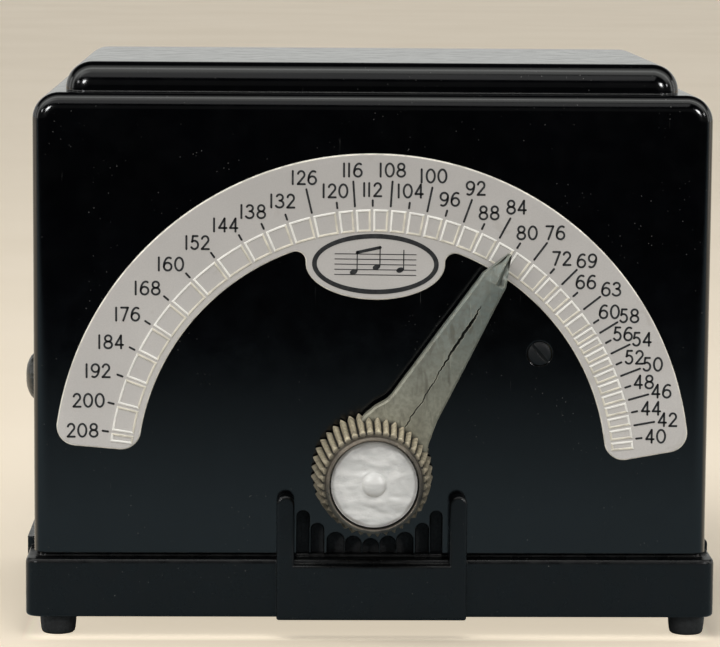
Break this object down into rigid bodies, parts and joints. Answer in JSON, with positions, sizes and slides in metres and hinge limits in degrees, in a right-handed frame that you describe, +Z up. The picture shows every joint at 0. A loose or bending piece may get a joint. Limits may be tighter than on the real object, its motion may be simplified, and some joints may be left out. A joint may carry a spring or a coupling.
{
  "type": "electric metronome",
  "caption": "Mains-driven metronome: black moulded case on a tray, arc tempo dial, turning pointer with a toothed finger knob, sound slots, side switch, and cord.",
  "frame": {"origin": "centre of the object's bounding box, at the bottom of the feet; the switch knob and the coiled cord count", "axes": "+Z up; -Y out of the dial face towards the user; +X to the right as the user looks at the dial"},
  "size_m": [0.1432, 0.1688, 0.1171],
  "materials": {
    "tray_moulding": "black phenolic moulding, semi-gloss, dusty in its groove",
    "case_moulding": "black phenolic moulding, polished, with fine scratches",
    "cover_board": "dark pressed fibre board, dull",
    "foot_rubber": "black moulded rubber, dull",
    "screw_steel": "plated steel, a little dulled",
    "black_screw": "blackened steel, satin",
    "baffle_cloth": "black cloth on card",
    "dial_sheet": "pale grey matt etched sheet, with black numbers in the visual",
    "pointer_casting": "grey-green die-cast zinc alloy, scratched, with worn teeth",
    "bezel_bronze": "dark bronze-brown ring, worn",
    "knob_disc_sheet": "silvery white crinkled sheet",
    "shaft_steel": "ground steel",
    "turned_brass": "turned brass, aged",
    "switch_moulding": "dark olive-grey moulding, satin",
    "brown_moulding": "brown phenolic moulding",
    "frame_sheet": "zinc-plated sheet, warm grey",
    "tyre_rubber": "hard black rubber",
    "phenolic_cloth": "brown cotton-filled phenolic",
    "disc_alloy": "turned face with fine rings",
    "core_sheet": "stacked grey sheets, dull",
    "coil_tape": "amber varnished tape over the winding",
    "rotor_steel": "turned steel",
    "hammer_leather": "tan leather tip",
    "spring_wire": "spring wire",
    "block_wood": "varnished hardwood",
    "cord_rubber": "dark brown rubber-covered cord, dull",
    "plug_moulding": "dark brown moulding; its blades are brass in the visual",
    "red_wire": "red insulated wire"
  },
  "bodies": {
    "root": {"base_tray": "tray_moulding", "case_shell": "case_moulding", "back_cover": "cover_board", "foot_front_left": "foot_rubber", "foot_front_right": "foot_rubber", "foot_rear_left": "foot_rubber", "foot_rear_right": "foot_rubber", "base_screw_1": "screw_steel", "base_screw_2": "screw_steel", "base_screw_3": "screw_steel", "base_screw_4": "screw_steel", "back_screw_left": "screw_steel", "back_screw_right": "screw_steel", "front_screw": "black_screw", "hidden_screw": "screw_steel", "grille_baffle": "baffle_cloth", "dial_plate": "dial_sheet", "shaft_bush": "turned_brass", "bush_nut": "turned_brass", "switch_body": "brown_moulding", "switch_nut": "screw_steel", "movement_plate_front": "frame_sheet", "movement_plate_rear": "frame_sheet", "pillar_1": "turned_brass", "pillar_2": "turned_brass", "pillar_3": "turned_brass", "standoff_right": "turned_brass", "standoff_left": "turned_brass", "bearing_bracket_left": "frame_sheet", "bearing_bracket_right": "frame_sheet", "carriage_rail": "shaft_steel", "motor_stator": "core_sheet", "motor_coil": "coil_tape", "hammer_pin": "shaft_steel", "hammer_spring": "spring_wire", "sound_block": "block_wood", "mains_cord": "cord_rubber", "mains_plug": "plug_moulding", "cord_grommet": "foot_rubber", "switch_lead": "red_wire", "motor_lead": "red_wire"},
    "pointer": {"pointer_arm": "pointer_casting", "knob_bezel": "bezel_bronze", "knob_disc": "knob_disc_sheet", "pointer_shaft": "shaft_steel", "rack_pinion": "turned_brass"},
    "carriage": {"roller_carriage": "turned_brass"},
    "roller": {"roller_hub": "turned_brass", "roller_tyre": "tyre_rubber"},
    "cam_shaft": {"roller_shaft": "shaft_steel", "beat_cam": "phenolic_cloth"},
    "disc": {"friction_disc": "disc_alloy", "disc_shaft": "shaft_steel", "drive_gear": "phenolic_cloth"},
    "rotor": {"motor_rotor": "rotor_steel", "rotor_shaft": "shaft_steel"},
    "hammer": {"hammer_lever": "frame_sheet", "hammer_head": "hammer_leather"},
    "switch": {"switch_knob": "switch_moulding", "switch_shaft": "shaft_steel"}
  },
  "joints": [
    {"name": "pointer_turn", "type": "hinge", "parent": "root", "child": "pointer", "pos_m": [0.0013, -0.06788, 0.03464], "axis": [0, -1, 0], "range_deg": [-51.4, 112.8]},
    {"name": "carriage_slide", "type": "slide", "parent": "root", "child": "carriage", "axis": [-1, 0, 0], "range_m": [-0.0049, 0.0107]},
    {"name": "disc_spin", "type": "hinge", "parent": "root", "child": "disc", "pos_m": [0.00173, -0.02788, 0.06], "axis": [0, 1, 0], "continuous": true},
    {"name": "rotor_spin", "type": "hinge", "parent": "root", "child": "rotor", "pos_m": [0.02703, -0.02388, 0.06], "axis": [0, 1, 0], "continuous": true},
    {"name": "cam_shaft_spin", "type": "hinge", "parent": "root", "child": "cam_shaft", "pos_m": [0.001, -0.04388, 0.06], "axis": [1, 0, 0], "continuous": true},
    {"name": "roller_spin", "type": "hinge", "parent": "carriage", "child": "roller", "pos_m": [-0.007, -0.04388, 0.06], "axis": [1, 0, 0], "continuous": true},
    {"name": "hammer_swing", "type": "hinge", "parent": "root", "child": "hammer", "pos_m": [-0.0292, -0.03488, 0.041], "axis": [1, 0, 0], "range_deg": [0, 8], "stiffness_Nm_per_rad": 0.002},
    {"name": "switch_turn", "type": "hinge", "parent": "root", "child": "switch", "pos_m": [-0.059, -0.02788, 0.0485], "axis": [-1, 0, 0], "range_deg": [0, 90]}
  ],
  "couplings": [
    {"joint": "carriage_slide", "follows": "pointer_turn", "m_per_rad": 0.0054},
    {"joint": "rotor_spin", "follows": "disc_spin", "ratio": -4},
    {"joint": "cam_shaft_spin", "follows": "disc_spin", "ratio": 1.0913},
    {"joint": "roller_spin", "follows": "disc_spin", "ratio": 1.0913}
  ]
}
